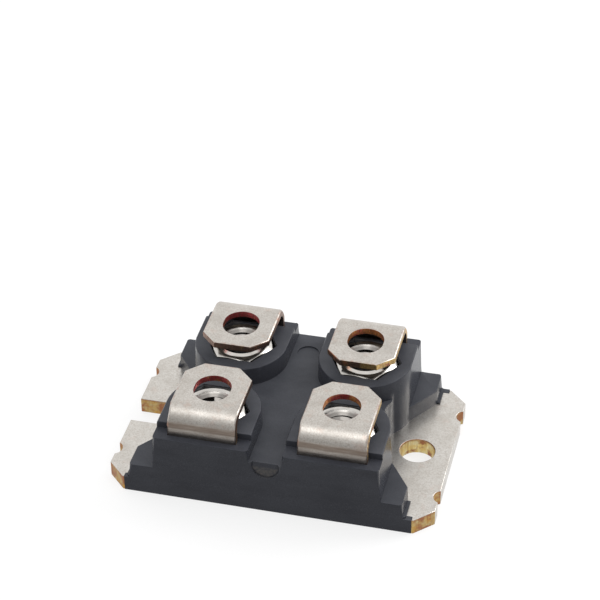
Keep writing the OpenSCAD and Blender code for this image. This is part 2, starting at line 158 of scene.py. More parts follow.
def combined(tree, operation, first, second=0.0):
    """One value out of one or two, each a socket or a number."""
    node = tree.nodes.new("ShaderNodeMath")
    node.operation = operation
    for socket, value in zip(node.inputs, (first, second)):
        if isinstance(value, bpy.types.NodeSocket):
            tree.links.new(value, socket)
        else:
            socket.default_value = value
    return node.outputs["Value"]


def mixed(tree, factor, first, second):
    """Goes from the first colour to the second as the factor rises; each is a socket or a triple."""
    node = tree.nodes.new("ShaderNodeMix")
    node.data_type = "RGBA"
    tree.links.new(factor, node.inputs["Factor"])
    sockets = [s for s in node.inputs if s.type == "RGBA"]
    for socket, colour in zip(sockets, (first, second)):
        if isinstance(colour, bpy.types.NodeSocket):
            tree.links.new(colour, socket)
        else:
            socket.default_value = (*colour, 1.0)
    return [s for s in node.outputs if s.type == "RGBA"][0]


def relief(tree, shader, height, depth, strength=1.0):
    """Raises the surface by a height value, over a depth in millimetres."""
    bump = tree.nodes.new("ShaderNodeBump")
    bump.inputs["Distance"].default_value = depth * MM
    bump.inputs["Strength"].default_value = strength
    tree.links.new(height, bump.inputs["Height"])
    tree.links.new(bump.outputs["Normal"], shader.inputs["Normal"])


def axes(tree, place):
    """The separate X, Y and Z of a coordinate, in millimetres."""
    node = tree.nodes.new("ShaderNodeSeparateXYZ")
    tree.links.new(place, node.inputs["Vector"])
    return node.outputs


def plated(name, bright, dull, speck, grain, stain):
    """Satin nickel on rolled sheet: grain, cloudy dulling, specks, and stains by the given amount."""
    material, tree, shader, place = new_finish(name)
    clouds = mottle(tree, place, 2.4, detail=6.0, roughness=0.65)
    rolling = mottle(tree, place, grain, detail=3.0)
    pits = mottle(tree, place, 0.16, detail=3.0)
    dulled = mixed(tree, graded(tree, clouds, 0.38, 0.66), bright, dull)
    marks = graded(tree, mottle(tree, place, 1.7, detail=6.0, roughness=0.65), 0.56, 0.74, 0.0, stain)
    colour = mixed(tree, marks, dulled, NICKEL_STAIN)
    specks = graded(tree, pits, 0.42, 0.72, 0.0, 0.8)
    tree.links.new(mixed(tree, specks, colour, speck), shader.inputs["Base Color"])
    shader.inputs["Metallic"].default_value = 1.0
    tree.links.new(graded(tree, clouds, 0.3, 0.7, 0.27, 0.38), shader.inputs["Roughness"])
    relief(tree, shader, combined(tree, "ADD", rolling, pits), 0.006, 0.5)
    return material, tree, shader, place


plate_nickel = plated("plate_nickel", NICKEL, NICKEL_DULL, NICKEL_SPECK,
                      grain=(2.5, 0.12, 0.12), stain=0.35)[0]


def sheared(name, gold, pale, brown_from):
    """Bare sheared metal: gold to pale with brown blotches, dark streaks and a dark upper rim."""
    material, tree, shader, place = new_finish(name)
    streaks = mottle(tree, place, (0.25, 0.25, 2.0), detail=5.0)
    blotches = mottle(tree, place, 1.3, detail=6.0, roughness=0.62)
    rim = graded(tree, axes(tree, place)["Z"], *PLATE_RIM, 0.0, 0.9)
    browned = combined(tree, "MAXIMUM", graded(tree, blotches, brown_from, brown_from + 0.12), rim)
    patches = graded(tree, mottle(tree, place, 0.8, detail=4.0), 0.40, 0.62)
    shear = mixed(tree, browned, mixed(tree, patches, gold, pale), SHEARED_BROWN)
    tree.links.new(mixed(tree, graded(tree, streaks, 0.35, 0.75, 0.0, 0.5), shear, SHEARED_BROWN),
                   shader.inputs["Base Color"])
    shader.inputs["Metallic"].default_value = 1.0
    tree.links.new(graded(tree, streaks, 0.3, 0.7, 0.38, 0.55), shader.inputs["Roughness"])
    relief(tree, shader, streaks, 0.03, 0.6)
    return material


plate_edge = sheared("plate_sheared_edge", SHEARED_GOLD, SHEARED_PALE, 0.43)
plate_bore = sheared("plate_sheared_bore", BORED_GOLD, BORED_PALE, 0.54)

plate = merged_copy("base_plate", "stamped_plate")
bpy.ops.object.mode_set(mode="EDIT")
for level, width, steps in ((PLATE_TOP, PLATE_ROLLOVER, 3), (0.0, PLATE_BURR, 1)):
    pick("edges", lambda edge: edge.calc_face_angle(0) > 1.0
         and all(abs(v.co.z - level) < NEAR for v in edge.verts))
    bpy.ops.mesh.bevel(offset=width, segments=steps, clamp_overlap=False)
bpy.ops.object.mode_set(mode="OBJECT")
for finish in (plate_nickel, plate_edge, plate_bore):
    plate.data.materials.append(finish)
bpy.ops.object.mode_set(mode="EDIT")
pick("faces", lambda face: abs(face.normal.z) < 0.3
     and abs(face.calc_center_median().x) < PLATE_END - 0.01 * MM)
plate.active_material_index = 1
bpy.ops.object.material_slot_assign()
pick("faces", lambda face: abs(face.normal.z) < 0.95
     and (face.calc_center_median().xy - BORE_PLACE).length < BORE_RADIUS + PLATE_ROLLOVER)
plate.active_material_index = 2
bpy.ops.object.material_slot_assign()
bpy.ops.object.mode_set(mode="OBJECT")
smooth_rounds(plate, 40)
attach(plate, "root")
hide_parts("base_plate")


# Substrate: a ceramic tile with copper bonded to both faces, soldered to the plate. The upper copper
# is etched into four islands: one under both chips and one for each of the other terminals.
SOLDER = (0.430, 0.440, 0.460)
SOLDER_DULL = (0.300, 0.305, 0.320)
COPPER = (0.620, 0.285, 0.150)
COPPER_OXIDE = (0.400, 0.150, 0.075)
CERAMIC = (0.840, 0.830, 0.790)
CERAMIC_GREY = (0.740, 0.725, 0.690)


def dress(node, material):
    """Gives a CAD node that stays as it is a finish of its own."""
    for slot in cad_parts[node].material_slots:
        slot.material = material


solder, tree, shader, place = new_finish("solder")
crystals = mottle(tree, place, 0.5, detail=6.0)
tree.links.new(mixed(tree, graded(tree, crystals, 0.35, 0.65), SOLDER, SOLDER_DULL),
               shader.inputs["Base Color"])
shader.inputs["Metallic"].default_value = 1.0
tree.links.new(graded(tree, crystals, 0.3, 0.7, 0.35, 0.6), shader.inputs["Roughness"])
relief(tree, shader, crystals, 0.02, 0.5)

copper, tree, shader, place = new_finish("bonded_copper")
oxide = mottle(tree, place, 2.0, detail=6.0)
etched = mottle(tree, place, 0.12, detail=2.0)
tree.links.new(mixed(tree, graded(tree, oxide, 0.45, 0.7), COPPER, COPPER_OXIDE),
               shader.inputs["Base Color"])
shader.inputs["Metallic"].default_value = 1.0
tree.links.new(graded(tree, oxide, 0.3, 0.7, 0.30, 0.45), shader.inputs["Roughness"])
relief(tree, shader, etched, 0.008, 0.5)

ceramic, tree, shader, place = new_finish("fired_ceramic")
grains = mottle(tree, place, 0.2, detail=5.0)
tree.links.new(mixed(tree, graded(tree, grains, 0.4, 0.7), CERAMIC, CERAMIC_GREY),
               shader.inputs["Base Color"])
tree.links.new(graded(tree, grains, 0.3, 0.7, 0.5, 0.7), shader.inputs["Roughness"])
relief(tree, shader, grains, 0.01, 0.5)

dress("base_solder", solder)
dress("lower_copper", copper)
dress("ceramic_tile", ceramic)
for island in ("collector_copper", "emitter_copper", "gate_copper", "kelvin_copper"):
    dress(island, copper)


# Chips: a switching transistor and a free-wheeling diode of sawn silicon, soldered to the collector's
# copper. Their tops are metallised in fine cells, which give the silicon its striped sheen.
SILICON = (0.090, 0.105, 0.135)
METALLISED = (0.420, 0.430, 0.450)
CELL_PITCH = 0.2
CHIP_TOP = (3.70, 3.73)

silicon, tree, shader, place = new_finish("metallised_silicon")
cells = tree.nodes.new("ShaderNodeTexWave")
cells.inputs["Scale"].default_value = 1 / CELL_PITCH / 6
cells.inputs["Distortion"].default_value = 0.1
tree.links.new(place, cells.inputs["Vector"])
upper = graded(tree, axes(tree, place)["Z"], *CHIP_TOP)
cell_tops = combined(tree, "MULTIPLY", cells.outputs["Fac"], upper)
tree.links.new(mixed(tree, cell_tops, SILICON, METALLISED), shader.inputs["Base Color"])
shader.inputs["Metallic"].default_value = 0.8
sawn = mottle(tree, place, 0.3)
tree.links.new(graded(tree, sawn, 0.3, 0.7, 0.18, 0.32), shader.inputs["Roughness"])
relief(tree, shader, cell_tops, 0.01, 0.4)

dress("die_solder", solder)
dress("igbt_die", silicon)
dress("diode_die", silicon)


# Bond wires: drawn aluminium, pressed flat onto the chips and the islands by ultrasonic wedges.
# Power wires are thick and run in fours, and the gate and sense wires are thin and single.
ALUMINIUM = (0.780, 0.785, 0.800)
ALUMINIUM_DULL = (0.600, 0.605, 0.625)

bond_wire, tree, shader, place = new_finish("drawn_aluminium")
drawing = mottle(tree, place, (0.05, 0.4, 0.05), detail=3.0)
tree.links.new(mixed(tree, graded(tree, drawing, 0.35, 0.7), ALUMINIUM, ALUMINIUM_DULL),
               shader.inputs["Base Color"])
shader.inputs["Metallic"].default_value = 1.0
tree.links.new(graded(tree, drawing, 0.3, 0.7, 0.25, 0.4), shader.inputs["Roughness"])
relief(tree, shader, drawing, 0.005, 0.5)

for wires in ("emitter_bond_wires", "diode_bond_wires", "gate_bond_wire", "kelvin_bond_wire"):
    dress(wires, bond_wire)


# Terminal straps: blanks of plated copper sheet with a punched screw hole, soldered to the islands.
# The leg runs up through the moulding, and the top is folded over last, so it covers the nut.
STRAP_X, STRAP_Y = 7.5 * MM, 6.35 * MM
STRAP_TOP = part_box("collector_terminal")[1].z
STRAP_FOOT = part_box("collector_terminal")[0].z
STRAP_HALF = 4.0 * MM
STRAP_THICK = 0.8 * MM
STRAP_ROLLOVER = 0.25 * MM
HOLE_ROLLOVER = 0.06 * MM
STRAP_BURR = 0.05 * MM
TIP_REACH = 4.3 * MM
TIP_CUT = 1.8 * MM
FLAT_RUN = 3.0 * MM
LEG_FACE_Y = 11.5562 * MM
BEND = (LEG_FACE_Y - STRAP_Y - FLAT_RUN, 90, 24)
LEG_SHOULDER_Z = 7.84 * MM
LEG_HALF = 1.8 * MM
FOOT_BEND = (1.2 * MM, 90, 8)
FOOT_RUN = 3.1 * MM
PINCH = 0.12 * MM
HOLE_RADIUS = 2.1 * MM
HOLE_STRETCH = 0.25 * MM
HOLE_SLACK = 0.02 * MM
HOLE_SIDES = 72
STRAP_NICKEL = (0.605, 0.578, 0.538)
STRAP_DULL = (0.500, 0.472, 0.434)
STRAP_SPECK = (0.370, 0.325, 0.285)
EDGE_BROWN = (0.260, 0.165, 0.125)
EDGE_DARK = (0.110, 0.075, 0.060)
EDGE_WORN = (0.330, 0.180, 0.130)
EDGE_GOLD = (0.680, 0.480, 0.200)
EDGE_COPPER = (0.560, 0.230, 0.120)
HOLE_CRIMSON = (0.540, 0.095, 0.100)
HOLE_ORANGE = (0.700, 0.300, 0.110)
# Painted shade and dark reflection on the fold, partly brown tarnish: a band below the bend's highlight
# and a darker lower leg.
BEND_SHADE_TARNISH = (0.165, 0.130, 0.105)
LEG_SHADE_DARK = (0.140, 0.114, 0.096)
# Painted shade for the strap's downward faces.
UNDERSIDE_SHADE = (0.360, 0.325, 0.290)
BAND_UPPER = (10.75, 10.35)
BAND_LOWER = (9.60, 9.85)
LEG_FADE = (10.50, 9.60)
SIDE_WEAR = (3.66, 3.92)
TIP_WEAR = (2.34, 2.10)


def facing(tree):
    """How far the surface faces up: 1 on top, 0 on a wall and -1 underneath."""
    place = tree.nodes.new("ShaderNodeTexCoord")
    return axes(tree, place.outputs["Normal"])["Z"]


strap_nickel, tree, shader, place = plated(
    "strap_nickel", STRAP_NICKEL, STRAP_DULL, STRAP_SPECK, grain=(3.0, 0.10, 0.10), stain=0.55)
colour = shader.inputs["Base Color"].links[0].from_socket
# Painted shade and reflection: a streaky brown-dark band under the bend's highlight stands in for the
# darker room mirrored there, partly real tarnish, and the leg darkens towards its foot, for the shaded
# ledge that it mirrors.
bend_shade_streaks = mottle(tree, place, (2.0, 0.35, 0.14), detail=4.0)
height = axes(tree, place)["Z"]
bend_shade_band = combined(tree, "MINIMUM", graded(tree, height, *BAND_UPPER),
                     graded(tree, height, *BAND_LOWER))
bend_shade_mask = combined(tree, "MULTIPLY", bend_shade_band, graded(tree, bend_shade_streaks, 0.20, 0.60, 0.70, 1.0))
leg_shade_mask = combined(tree, "MULTIPLY", graded(tree, height, *LEG_FADE),
                   graded(tree, bend_shade_streaks, 0.25, 0.65, 0.40, 0.70))
shaded_bends = mixed(tree, leg_shade_mask, mixed(tree, bend_shade_mask, colour, BEND_SHADE_TARNISH), LEG_SHADE_DARK)
from_middle = combined(tree, "ABSOLUTE", combined(
    tree, "SUBTRACT", combined(tree, "ABSOLUTE", axes(tree, place)["X"]), STRAP_X / MM))
from_centre = combined(tree, "ABSOLUTE", axes(tree, place)["Y"])
rim = combined(tree, "MAXIMUM", graded(tree, from_middle, *SIDE_WEAR),
               graded(tree, from_centre, *TIP_WEAR))
scuffs = graded(tree, mottle(tree, place, 0.55, detail=5.0, roughness=0.62), 0.46, 0.66, 0.0, 0.75)
worn = mixed(tree, combined(tree, "MULTIPLY", rim, scuffs), shaded_bends, EDGE_WORN)
# Painted shade: faces that turn downwards are coloured darker.
tree.links.new(mixed(tree, graded(tree, facing(tree), -0.5, -0.8), worn, UNDERSIDE_SHADE),
               shader.inputs["Base Color"])


def cut_edge(name, plain, patch, second_patch):
    """Bare sheared copper: one plain colour with two kinds of patches and dark streaks."""
    material, tree, shader, place = new_finish(name)
    streaks = mottle(tree, place, (0.12, 0.12, 0.8), detail=4.0)
    drift = combined(tree, "MULTIPLY", axes(tree, place)["X"], 0.012)
    patches = combined(tree, "ADD", mottle(tree, place, 2.6, detail=5.0), drift)
    patched = mixed(tree, graded(tree, patches, 0.52, 0.62), plain, patch)
    spots = graded(tree, mottle(tree, place, 1.9, detail=5.0), 0.56, 0.64)
    shear = mixed(tree, spots, patched, second_patch)
    tree.links.new(mixed(tree, graded(tree, streaks, 0.40, 0.80), shear, EDGE_DARK),
                   shader.inputs["Base Color"])
    shader.inputs["Metallic"].default_value = 1.0
    tree.links.new(graded(tree, streaks, 0.3, 0.7, 0.35, 0.55), shader.inputs["Roughness"])
    relief(tree, shader, streaks, 0.02, 0.6)
    return material


strap_edge = cut_edge("strap_sheared_edge", EDGE_BROWN, EDGE_GOLD, EDGE_COPPER)
strap_bore = cut_edge("strap_sheared_hole", HOLE_CRIMSON, HOLE_ORANGE, EDGE_COPPER)

bpy.ops.object.select_all(action="DESELECT")
bpy.ops.mesh.primitive_plane_add(
    size=2, location=(STRAP_X, STRAP_Y - TIP_REACH, STRAP_TOP - STRAP_THICK / 2),
    rotation=(math.pi / 2, 0, 0))
strap = bpy.context.active_object
strap.name = strap.data.name = "strap_collector"
bpy.ops.object.transform_apply()
bpy.ops.object.mode_set(mode="EDIT")
bpy.ops.transform.resize(
    value=(STRAP_HALF - TIP_CUT, 1, STRAP_THICK / 2),
    center_override=(STRAP_X, STRAP_Y - TIP_REACH, STRAP_TOP - STRAP_THICK / 2))
for is_upper, radius, steps in ((True, STRAP_ROLLOVER, 4), (False, STRAP_BURR, 1)):
    pick("verts", lambda v: (v.co.z > STRAP_TOP - STRAP_THICK / 4) == is_upper
         and (is_upper or v.co.z < STRAP_TOP - STRAP_THICK * 0.9))
    bpy.ops.mesh.bevel(offset=radius, segments=steps, affect="VERTICES")
bpy.ops.mesh.select_all(action="SELECT")
bpy.ops.mesh.delete(type="ONLY_FACE")
bpy.ops.mesh.select_all(action="SELECT")

tail = {"y": STRAP_Y - TIP_REACH, "z": STRAP_TOP, "turn": 0}


def run_on(length):
    """Lengthens the strap straight ahead."""
    turn = math.radians(tail["turn"])
    step = (0, length * math.cos(turn), -length * math.sin(turn))
    bpy.ops.mesh.extrude_edges_move(TRANSFORM_OT_translate={"value": step})
    tail["y"] += step[1]
    tail["z"] += step[2]


def fold_on(radius, degrees, steps):
    """Folds the strap on, downwards. Returns the place of the fold's axis."""
    start = math.radians(tail["turn"])
    stop = math.radians(tail["turn"] + degrees)
    axis_y = tail["y"] - radius * math.sin(start)
    axis_z = tail["z"] - radius * math.cos(start)
    bpy.ops.mesh.spin(steps=steps, angle=math.radians(degrees), center=(STRAP_X, axis_y, axis_z),
                      axis=(1, 0, 0))
    tail.update(y=axis_y + radius * math.sin(stop), z=axis_z + radius * math.cos(stop),
                turn=tail["turn"] + degrees)
    return axis_y, axis_z


run_on(TIP_CUT)
for side in (-1, 1):
    pick("verts", lambda v: abs(v.co.y - tail["y"]) < NEAR and (v.co.x - STRAP_X) * side > 0)
    bpy.ops.transform.translate(value=(side * TIP_CUT, 0, 0))
pick("edges", lambda edge: all(abs(v.co.y - tail["y"]) < NEAR for v in edge.verts))
run_on(TIP_REACH - TIP_CUT + FLAT_RUN)
bend_y, bend_z = fold_on(*BEND)
run_on(tail["z"] - LEG_SHOULDER_Z)
bpy.ops.mesh.extrude_edges_move(TRANSFORM_OT_translate={"value": (0, 0, 0)})
bpy.ops.transform.resize(value=(LEG_HALF / STRAP_HALF, 1, 1),
                         center_override=(STRAP_X, tail["y"], tail["z"]))
run_on(tail["z"] - STRAP_FOOT - FOOT_BEND[0])
fold_on(*FOOT_BEND)
run_on(FOOT_RUN)
bpy.ops.mesh.select_all(action="SELECT")
bpy.ops.mesh.fill_holes(sides=0)
bpy.ops.mesh.select_all(action="SELECT")
bpy.ops.mesh.normals_make_consistent(inside=False)
pick("edges", lambda edge: all(abs(v.co.y - STRAP_Y + TIP_REACH) < NEAR for v in edge.verts))
bpy.ops.mesh.bevel(offset=STRAP_BURR, segments=2, clamp_overlap=False)

# The outer skin of the bend is drawn thin, so it pulls in from the sides, most in its middle.
body = bmesh.from_edit_mesh(strap.data)
for v in body.verts:
    out, up = v.co.y - bend_y, v.co.z - bend_z
    reach = math.hypot(out, up) - (BEND[0] - STRAP_THICK)
    turn = math.degrees(math.atan2(out, up))
    if 0 < reach < 2 * STRAP_THICK and 0 < turn < BEND[1] and abs(v.co.x - STRAP_X) > 0.9 * STRAP_HALF:
        drawn = math.sin(math.pi * turn / BEND[1]) ** 2
        v.co.x -= math.copysign(PINCH * drawn * min(1, reach / STRAP_THICK), v.co.x - STRAP_X)
bmesh.update_edit_mesh(strap.data)
bpy.ops.object.mode_set(mode="OBJECT")

bpy.ops.object.select_all(action="DESELECT")
bpy.ops.mesh.primitive_cylinder_add(
    vertices=HOLE_SIDES, radius=HOLE_RADIUS, depth=4 * STRAP_THICK,
    location=(STRAP_X, STRAP_Y, STRAP_TOP), rotation=(0, 0, math.pi / HOLE_SIDES))
punch = bpy.context.active_object
bpy.ops.object.transform_apply()
bpy.ops.object.mode_set(mode="EDIT")
for side in (-1, 1):
    pick("verts", lambda v: (v.co.y - STRAP_Y) * side > 0)
    bpy.ops.transform.translate(value=(0, side * HOLE_STRETCH, 0))
bpy.ops.object.mode_set(mode="OBJECT")
apply_modifier(strap, "BOOLEAN", operation="DIFFERENCE", solver="EXACT", object=punch)
bpy.data.objects.remove(punch)


def on_hole(v):
    """True for a point on the wall of the strap's screw hole."""
    along = max(0, abs(v.co.y - STRAP_Y) - HOLE_STRETCH)
    from_wall = abs(math.hypot(v.co.x - STRAP_X, along) - HOLE_RADIUS)
    return from_wall < HOLE_SLACK and v.co.z > STRAP_TOP - 2 * STRAP_THICK


bpy.ops.object.mode_set(mode="EDIT")
for level, width, steps in ((STRAP_TOP, HOLE_ROLLOVER, 2), (STRAP_TOP - STRAP_THICK, STRAP_BURR, 1)):
    pick("edges", lambda edge: edge.calc_face_angle(0) > 1.0
         and all(on_hole(v) and abs(v.co.z - level) < NEAR for v in edge.verts))
    bpy.ops.mesh.bevel(offset=width, segments=steps, clamp_overlap=False)
bpy.ops.object.mode_set(mode="OBJECT")
for finish in (strap_nickel, strap_edge, strap_bore):
    strap.data.materials.append(finish)
bpy.ops.object.mode_set(mode="EDIT")
pick("faces", lambda face: abs(face.normal.x) > 0.9
     or (face.calc_center_median().y < STRAP_Y - TIP_REACH + TIP_CUT and abs(face.normal.z) < 0.5))
strap.active_material_index = 1
bpy.ops.object.material_slot_assign()
pick("faces", lambda face: all(on_hole(v) for v in face.verts))
strap.active_material_index = 2
bpy.ops.object.material_slot_assign()
bpy.ops.object.mode_set(mode="OBJECT")


def corner_copy(piece, name, side_x, side_y):
    """A copy with its own mesh, mirrored from the +X +Y corner to another corner."""
    copy = piece.copy()
    copy.data = piece.data.copy()
    copy.name = copy.data.name = name
    bpy.context.scene.collection.objects.link(copy)
    take_up(copy)
    bpy.ops.object.mode_set(mode="EDIT")
    bpy.ops.mesh.select_all(action="SELECT")
    bpy.ops.transform.resize(value=(side_x, side_y, 1), center_override=(0, 0, 0))
    if side_x * side_y < 0:
        bpy.ops.mesh.flip_normals()
    bpy.ops.object.mode_set(mode="OBJECT")
    return copy


straps = {"collector": strap,
          "kelvin": corner_copy(strap, "strap_kelvin", -1, 1),
          "emitter": corner_copy(strap, "strap_emitter", 1, -1),
          "gate": corner_copy(strap, "strap_gate", -1, -1)}
for use, piece in straps.items():
    smooth_rounds(piece, 40)
    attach(piece, "root")
    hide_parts(use + "_terminal")
dress("terminal_solder", solder)


# Gel: a soft clear silicone poured over the chips and wires, which keeps air and damp off them.
# It fills the chamber between the plate and the moulding.
GEL = (0.820, 0.860, 0.880)
GEL_CLOUDY = (0.740, 0.790, 0.810)

gel, tree, shader, place = new_finish("silicone_gel")
haze = mottle(tree, place, 1.5, detail=3.0)
tree.links.new(mixed(tree, graded(tree, haze, 0.35, 0.7), GEL, GEL_CLOUDY), shader.inputs["Base Color"])
shader.inputs["IOR"].default_value = 1.41
shader.inputs["Transmission Weight"].default_value = 0.9
tree.links.new(graded(tree, haze, 0.3, 0.7, 0.05, 0.12), shader.inputs["Roughness"])
relief(tree, shader, haze, 0.02, 0.3)
dress("gel_fill", gel)


# Housing: one dark moulded body, cast round the strap legs. It covers the substrate, holds the nuts in
# four bosses and grips the plate's long sides. Its upright outer corners and long outer edges carry the
# mould's small radius.
PLASTIC = (0.0345, 0.0364, 0.0450)
PLASTIC_PALE = (0.0545, 0.0574, 0.0690)
# Upward faces: partly dust, partly painted light from above.
DUST_AND_TOP_LIGHT = (0.150, 0.155, 0.166)
# Painted light inside the nut pockets.
POCKET_FILL_LIGHT = (0.230, 0.235, 0.245)
# Torn plastic of the gate scar, partly painted light.
SCAR_PALE_LIT = (0.092, 0.086, 0.082)
MOULD_RADIUS = 0.10 * MM
CORNER_RADIUS = 0.40 * MM
PLATE_Z, LEDGE_Z, CHEEK_Z, POCKET_RIM_Z, SCAR_Z = 1.9, 8.64, 4.05, 9.40, 6.54
WALL_Y = 11.9
POCKET_REACH = 4.4
SCAR_REACH = 1.30


def distance(tree, first, second):
    """The length of a slanting line from its two distances along the axes."""
    squares = [combined(tree, "MULTIPLY", value, value) for value in (first, second)]
    return combined(tree, "SQRT", combined(tree, "ADD", *squares))


def corner_reach(tree, place, out_x, out_y):
    """The distance in plan from the nearest of four upright axes, which stand at (+-out_x, +-out_y)."""
    along = [combined(tree, "SUBTRACT", combined(tree, "ABSOLUTE", axes(tree, place)[axis]), out)
             for axis, out in (("X", out_x), ("Y", out_y))]
    return distance(tree, *along)


moulded, tree, shader, place = new_finish("moulded_plastic")
grain = mottle(tree, place, 0.11, detail=3.0)
flow = mottle(tree, place, (6.0, 4.0, 2.5), detail=5.0)
bloom = graded(tree, combined(tree, "ADD", flow, grain), 0.78, 1.28)
upward = graded(tree, facing(tree), 0.4, 0.95)
height = axes(tree, place)["Z"]
# Upward faces are lightened in patches: partly settled dust and partly painted light from above. Faces
# at the ledge's height, in the straps' shade, are left without it as painted shade.
ledge_shade_band = combined(tree, "MINIMUM", graded(tree, height, LEDGE_Z - 0.3, LEDGE_Z - 0.1),
                     graded(tree, height, LEDGE_Z + 0.3, LEDGE_Z + 0.1))
settled_and_lit = combined(tree, "MULTIPLY", graded(tree, flow, 0.30, 0.70, 0.08, 0.20),
                   combined(tree, "SUBTRACT", 1.0, ledge_shade_band))
dust_and_top_light = combined(tree, "MULTIPLY", upward, settled_and_lit)
# Painted light: the pocket walls below the rim are coloured pale grey, for light reaching into the gap
# around each nut.
pocket_fill_mask = combined(tree, "MINIMUM", graded(tree, height, POCKET_RIM_Z, POCKET_RIM_Z - 0.2),
                     graded(tree, corner_reach(tree, place, STRAP_X / MM, STRAP_Y / MM),
                            POCKET_REACH + 0.1, POCKET_REACH))
outside = mixed(tree, dust_and_top_light, mixed(tree, bloom, PLASTIC, PLASTIC_PALE), DUST_AND_TOP_LIGHT)
# The gate scar's lower half is paler: partly torn plastic, partly painted light where the recess faces
# the light from above.
around_scar = distance(tree, axes(tree, place)["X"], combined(tree, "SUBTRACT", height, SCAR_Z))
on_scar = combined(tree, "MINIMUM", graded(tree, axes(tree, place)["Y"], 0.2 - WALL_Y, -WALL_Y),
                   combined(tree, "MINIMUM", graded(tree, around_scar, SCAR_REACH + 0.25, SCAR_REACH),
                            graded(tree, height, SCAR_Z, SCAR_Z - 0.3)))
tears = mottle(tree, place, 0.4, detail=5.0)
torn_and_lit = combined(tree, "MULTIPLY", on_scar, graded(tree, tears, 0.30, 0.60))
pocket_lit_walls = mixed(tree, pocket_fill_mask, outside, POCKET_FILL_LIGHT)
tree.links.new(mixed(tree, torn_and_lit, pocket_lit_walls, SCAR_PALE_LIT), shader.inputs["Base Color"])
matt = combined(tree, "MULTIPLY", upward, 0.2)
tree.links.new(combined(tree, "ADD", graded(tree, grain, 0.3, 0.7, 0.20, 0.28), matt),
               shader.inputs["Roughness"])
shader.inputs["Specular IOR Level"].default_value = 0.14
relief(tree, shader, grain, 0.010, 0.5)


def is_mould_corner(start, end):
    """True for an upright corner of the outer walls."""
    return (min(abs(start.y), abs(end.y)) > WALL_Y and min(start.z, end.z) > PLATE_Z
            and abs(end.z - start.z) > 0.9 * (end - start).length)


def is_mould_edge(start, end):
    """True for an outer edge of the walls and cheeks that is long enough to take the mould's radius."""
    middle = (start + end) / 2
    on_cheek = abs(middle.z - CHEEK_Z) < 0.01
    on_wall = abs(middle.y) > WALL_Y and middle.z > PLATE_Z + 0.6
    on_boss = middle.z > LEDGE_Z + 0.1 and (end - start).length > 5
    return (end - start).length > 0.3 and (on_cheek or on_wall or on_boss)


housing = merged_copy("housing", "moulded_housing")
bpy.ops.object.mode_set(mode="EDIT")
for is_rounded, radius, steps in ((is_mould_corner, CORNER_RADIUS, 5), (is_mould_edge, MOULD_RADIUS, 3)):
    pick("edges", lambda edge: edge.is_manifold and edge.is_convex and edge.calc_face_angle() > 1.2
         and is_rounded(*(v.co / MM for v in edge.verts)))
    bpy.ops.mesh.bevel(offset=radius, segments=steps, clamp_overlap=False)
bpy.ops.object.mode_set(mode="OBJECT")
housing.data.materials.append(moulded)
smooth_rounds(housing, 50)
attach(housing, "root")
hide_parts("housing")


# Nuts: four plain hexagon nuts of bright nickel-plated steel, dropped loose into the bosses' pockets
# before the straps are folded over. Each is turned from bar, bevelled on both sides and tapped.
NUT_X, NUT_Y = STRAP_X, STRAP_Y
NUT_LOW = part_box("terminal_nuts")[0].z
NUT_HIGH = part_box("terminal_nuts")[1].z
NUT_CORNER = 3.5 * MM / math.cos(math.radians(30))
NUT_BEVEL = 0.85 * MM
NUT_TURN = 6.89
NUT_EDGE = 0.05 * MM
NUT_SLOPE = math.tan(math.radians(30))
NUT_SPARE = 0.6 * MM
THREAD_CREST = 1.66 * MM
THREAD_ROOT = 2.03 * MM
THREAD_BASE = 2.12 * MM
THREAD_HALF = 0.29 * MM
THREAD_PITCH = 0.7 * MM
THREAD_TURNS = 2.8
THREAD_STEPS = int(40 * THREAD_TURNS)
THREAD_SHADE = (2.55, 2.35)
SINK_RADIUS = 2.60 * MM
BRIGHT_NICKEL = (0.610, 0.588, 0.555)
BRIGHT_DULL = (0.490, 0.468, 0.436)
# Painted shade inside the nut's bore.
THREAD_SHADE_GREY = (0.250, 0.236, 0.220)

nut_nickel, tree, shader, place = new_finish("bright_nickel")
turning = mottle(tree, place, (0.6, 0.6, 0.08), detail=3.0)
clouds = mottle(tree, place, 1.2, detail=4.0)
# Painted shade: towards the bore the nickel turns dark grey, for the shade in the thread.
thread_shade_mask = graded(tree, corner_reach(tree, place, NUT_X / MM, NUT_Y / MM), *THREAD_SHADE)
bright = mixed(tree, graded(tree, clouds, 0.40, 0.70), BRIGHT_NICKEL, BRIGHT_DULL)
tree.links.new(mixed(tree, thread_shade_mask, bright, THREAD_SHADE_GREY), shader.inputs["Base Color"])
shader.inputs["Metallic"].default_value = 1.0
tree.links.new(graded(tree, turning, 0.3, 0.7, 0.12, 0.24), shader.inputs["Roughness"])
relief(tree, shader, turning, 0.006, 0.4)


def turned(name, rings):
    """A solid of revolution about the nut's axis, from pairs of radius and height."""
    bpy.ops.object.select_all(action="DESELECT")
    bpy.ops.mesh.primitive_circle_add(
        vertices=96, radius=rings[0][0], fill_type="NOTHING", location=(NUT_X, NUT_Y, rings[0][1]))
    piece = bpy.context.active_object
    piece.name = name
    bpy.ops.object.transform_apply()
    bpy.ops.object.mode_set(mode="EDIT")
    bpy.ops.mesh.select_all(action="SELECT")
    for (radius, height), (next_radius, next_height) in zip(rings, rings[1:]):
        bpy.ops.mesh.extrude_edges_move(
            TRANSFORM_OT_translate={"value": (0, 0, next_height - height)})
        bpy.ops.transform.resize(value=(next_radius / radius, next_radius / radius, 1),
                                 center_override=(NUT_X, NUT_Y, next_height))
    bpy.ops.mesh.select_all(action="SELECT")
    bpy.ops.mesh.fill_holes(sides=0)
    bpy.ops.mesh.select_all(action="SELECT")
    bpy.ops.mesh.normals_make_consistent(inside=False)
    bpy.ops.object.mode_set(mode="OBJECT")
    return piece


